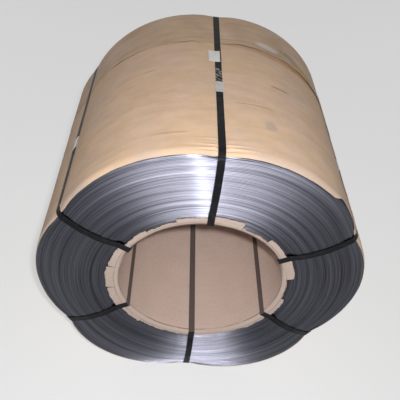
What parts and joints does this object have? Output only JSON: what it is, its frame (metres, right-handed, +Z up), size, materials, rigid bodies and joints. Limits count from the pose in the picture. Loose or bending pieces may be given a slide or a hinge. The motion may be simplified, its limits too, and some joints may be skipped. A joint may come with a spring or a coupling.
{
  "type": "rectangular steel wire coil",
  "caption": "Coil of flat rectangular steel wire lying on its side, in kraft paper, with a board-lined bore and steel straps that pull its outline into soft lobes.",
  "frame": {"origin": "on the floor, straight below the middle of the bore's axis", "axes": "+Z up, +Y along the bore from the front end to the rear end, +X to the right seen from the front"},
  "size_m": [0.783, 0.6736, 0.7658],
  "materials": {
    "wire": "drawn, satin",
    "kraft_paper": "matte, creased",
    "kraft_board": "matte",
    "strap": "black lacquer, worn",
    "seal": "zinc plated",
    "card": "matte"
  },
  "bodies": {
    "root": {"wire_coil": "wire", "kraft_wrap": "kraft_paper", "rear_band": "kraft_paper", "bore_liner": "kraft_board", "blank_tag": "card", "strap_top": "strap", "strap_upper_right": "strap", "strap_lower_right": "strap", "strap_bottom": "strap", "strap_lower_left": "strap", "strap_upper_left": "strap", "seal_top": "seal", "seal_upper_right": "seal", "seal_lower_right": "seal", "seal_bottom": "seal", "seal_lower_left": "seal", "seal_upper_left": "seal"}
  },
  "joints": []
}
